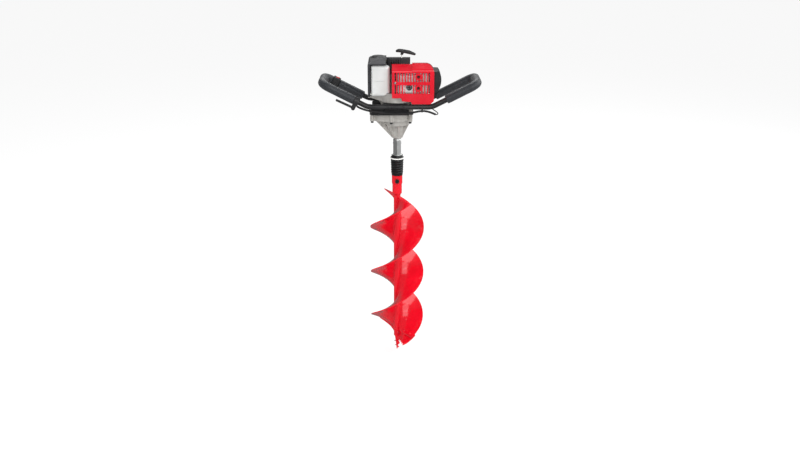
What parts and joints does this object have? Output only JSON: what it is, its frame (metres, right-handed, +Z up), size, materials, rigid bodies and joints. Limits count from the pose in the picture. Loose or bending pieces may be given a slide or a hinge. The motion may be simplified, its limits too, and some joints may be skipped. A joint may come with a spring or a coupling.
{
  "type": "earth auger",
  "caption": "Petrol earth auger: slotted engine cover and tank over a cast gearbox in a looped tube handle, sprung coupling with a bellows boot, and a double-flight bit with toothed blades.",
  "frame": {"origin": "tip of the pilot point, on the bit's axis", "axes": "+Z up along the bit's axis, +X to the right and +Y to the back as seen from the engine cover's side"},
  "size_m": [0.5768, 0.2336, 1.2021],
  "materials": {
    "red_paint": "gloss",
    "black_steel": "satin",
    "bright_steel": "machined",
    "zinc_steel": "zinc plated",
    "black_rubber": "matt",
    "white_ring": "matt",
    "cast_alloy": "as cast",
    "foam": "foam, matt",
    "black_plastic": "satin",
    "red_plastic": "gloss",
    "switch_red": "satin",
    "shoe_iron": "cast",
    "tank_plastic": "translucent",
    "guard_plastic": "fine grain",
    "primer_clear": "clear",
    "rope": "braided"
  },
  "bodies": {
    "machine": {"gearbox_bolts": "black_steel", "bracket_bolts": "black_steel", "handle_bracket": "black_steel", "handle_front_rail": "black_steel", "handle_rear_rail": "black_steel", "gearbox_bearings": "bright_steel", "muffler": "bright_steel", "cover_screws": "zinc_steel", "output_seal": "black_rubber", "spark_plug": "black_rubber", "control_cable": "black_rubber", "gearbox_case": "cast_alloy", "gearbox_cover": "cast_alloy", "clutch_housing": "cast_alloy", "crankcase": "cast_alloy", "engine_cylinder": "cast_alloy", "carburettor": "cast_alloy", "left_grip": "foam", "right_grip": "foam", "throttle_clamp": "black_plastic", "switch_box": "black_plastic", "recoil_housing": "black_plastic", "air_filter_box": "black_plastic", "head_cover": "black_plastic", "engine_cover": "red_plastic", "fuel_tank": "tank_plastic", "tank_guard": "guard_plastic", "rope_lead": "rope", "starter_rope": "rope"},
    "drive": {"hex_coupling": "zinc_steel", "coupling_pin": "bright_steel", "output_shaft": "bright_steel", "output_gear": "bright_steel", "shock_spring": "bright_steel", "boot": "black_rubber", "boot_ring": "white_ring"},
    "bit": {"pilot_point": "red_paint", "bit_shaft": "red_paint", "flight_a": "red_paint", "flight_b": "red_paint", "cutting_blades": "red_paint", "bit_socket": "red_paint", "socket_bolt": "black_steel", "shock_stub": "bright_steel"},
    "idler": {"idler_shaft": "bright_steel", "idler_gear": "bright_steel"},
    "drum": {"clutch_drum": "bright_steel"},
    "crank": {"crankshaft": "bright_steel", "flywheel": "cast_alloy", "clutch_hub": "bright_steel"},
    "shoe_a": {"clutch_shoe_a": "shoe_iron"},
    "shoe_b": {"clutch_shoe_b": "shoe_iron"},
    "starter_pull": {"pull_handle": "black_plastic"},
    "starter_pulley": {"recoil_pulley": "black_plastic"},
    "throttle_trigger": {"throttle_lever": "black_plastic"},
    "carb_lever": {"carb_throttle": "zinc_steel"},
    "stop_rocker": {"switch_rocker": "switch_red"},
    "choke": {"choke_lever": "black_plastic"},
    "primer": {"primer_bulb": "primer_clear"},
    "filler_cap": {"fuel_cap": "black_plastic"}
  },
  "joints": [
    {"name": "bit_spin", "type": "hinge", "parent": "machine", "child": "drive", "pos_m": [0, 0, 0.85], "axis": [0, 0, 1], "continuous": true},
    {"name": "shock_slide", "type": "slide", "parent": "drive", "child": "bit", "axis": [0, 0, 1], "range_m": [0, 0.01], "stiffness_N_per_m": 6000, "springref_m": -0.01, "deforming": ["shock_spring", "boot"]},
    {"name": "idler_spin", "type": "hinge", "parent": "machine", "child": "idler", "pos_m": [-0.04562, 0, 0.945], "axis": [0, 0, 1], "continuous": true},
    {"name": "drum_spin", "type": "hinge", "parent": "machine", "child": "drum", "pos_m": [0, 0, 0.98], "axis": [0, 0, 1], "continuous": true},
    {"name": "crank_spin", "type": "hinge", "parent": "machine", "child": "crank", "pos_m": [0, 0, 1.06], "axis": [0, 0, 1], "continuous": true},
    {"name": "shoe_a_swing", "type": "hinge", "parent": "crank", "child": "shoe_a", "pos_m": [0.022, 0, 0.999], "axis": [0, 0, -1], "range_deg": [0, 4.4], "stiffness_Nm_per_rad": 5, "springref_deg": -5.73},
    {"name": "shoe_b_swing", "type": "hinge", "parent": "crank", "child": "shoe_b", "pos_m": [-0.022, 0, 0.999], "axis": [0, 0, -1], "range_deg": [0, 4.4], "stiffness_Nm_per_rad": 5, "springref_deg": -5.73},
    {"name": "starter_draw", "type": "slide", "parent": "machine", "child": "starter_pull", "axis": [0, 0, 1], "range_m": [0, 0.55], "stiffness_N_per_m": 15, "springref_m": -0.4, "deforming": ["starter_rope"]},
    {"name": "pulley_spin", "type": "hinge", "parent": "machine", "child": "starter_pulley", "pos_m": [0, 0, 1.146], "axis": [0, 0, 1], "range_deg": [-1210, 0]},
    {"name": "throttle_squeeze", "type": "hinge", "parent": "machine", "child": "throttle_trigger", "pos_m": [-0.15526, -0.07, 0.99857], "axis": [0, 1, 0], "range_deg": [0, 8], "stiffness_Nm_per_rad": 0.5, "springref_deg": -11.46},
    {"name": "carb_turn", "type": "hinge", "parent": "machine", "child": "carb_lever", "pos_m": [0.078, 0.074, 1.096], "axis": [0, 0, 1], "range_deg": [0, 64.5]},
    {"name": "stop_switch", "type": "hinge", "parent": "machine", "child": "stop_rocker", "pos_m": [-0.21759, 0.07, 1.07578], "axis": [0, 1, 0], "range_deg": [0, 14]},
    {"name": "choke_turn", "type": "hinge", "parent": "machine", "child": "choke", "pos_m": [0.05, 0.088, 1.10412], "axis": [0, -1, 0], "range_deg": [0, 50]},
    {"name": "primer_push", "type": "slide", "parent": "machine", "child": "primer", "axis": [-1, 0, 0], "range_m": [0, 0.004], "stiffness_N_per_m": 800, "springref_m": -0.002},
    {"name": "cap_turn", "type": "hinge", "parent": "machine", "child": "filler_cap", "pos_m": [-0.068, 0.034, 1.155], "axis": [0, 0, 1], "range_deg": [0, 180]}
  ],
  "couplings": [
    {"joint": "idler_spin", "follows": "bit_spin", "ratio": -6.3},
    {"joint": "drum_spin", "follows": "bit_spin", "ratio": 39.69},
    {"joint": "pulley_spin", "follows": "starter_draw", "rad_per_m": -38.023},
    {"joint": "carb_turn", "follows": "throttle_squeeze", "ratio": 8}
  ]
}
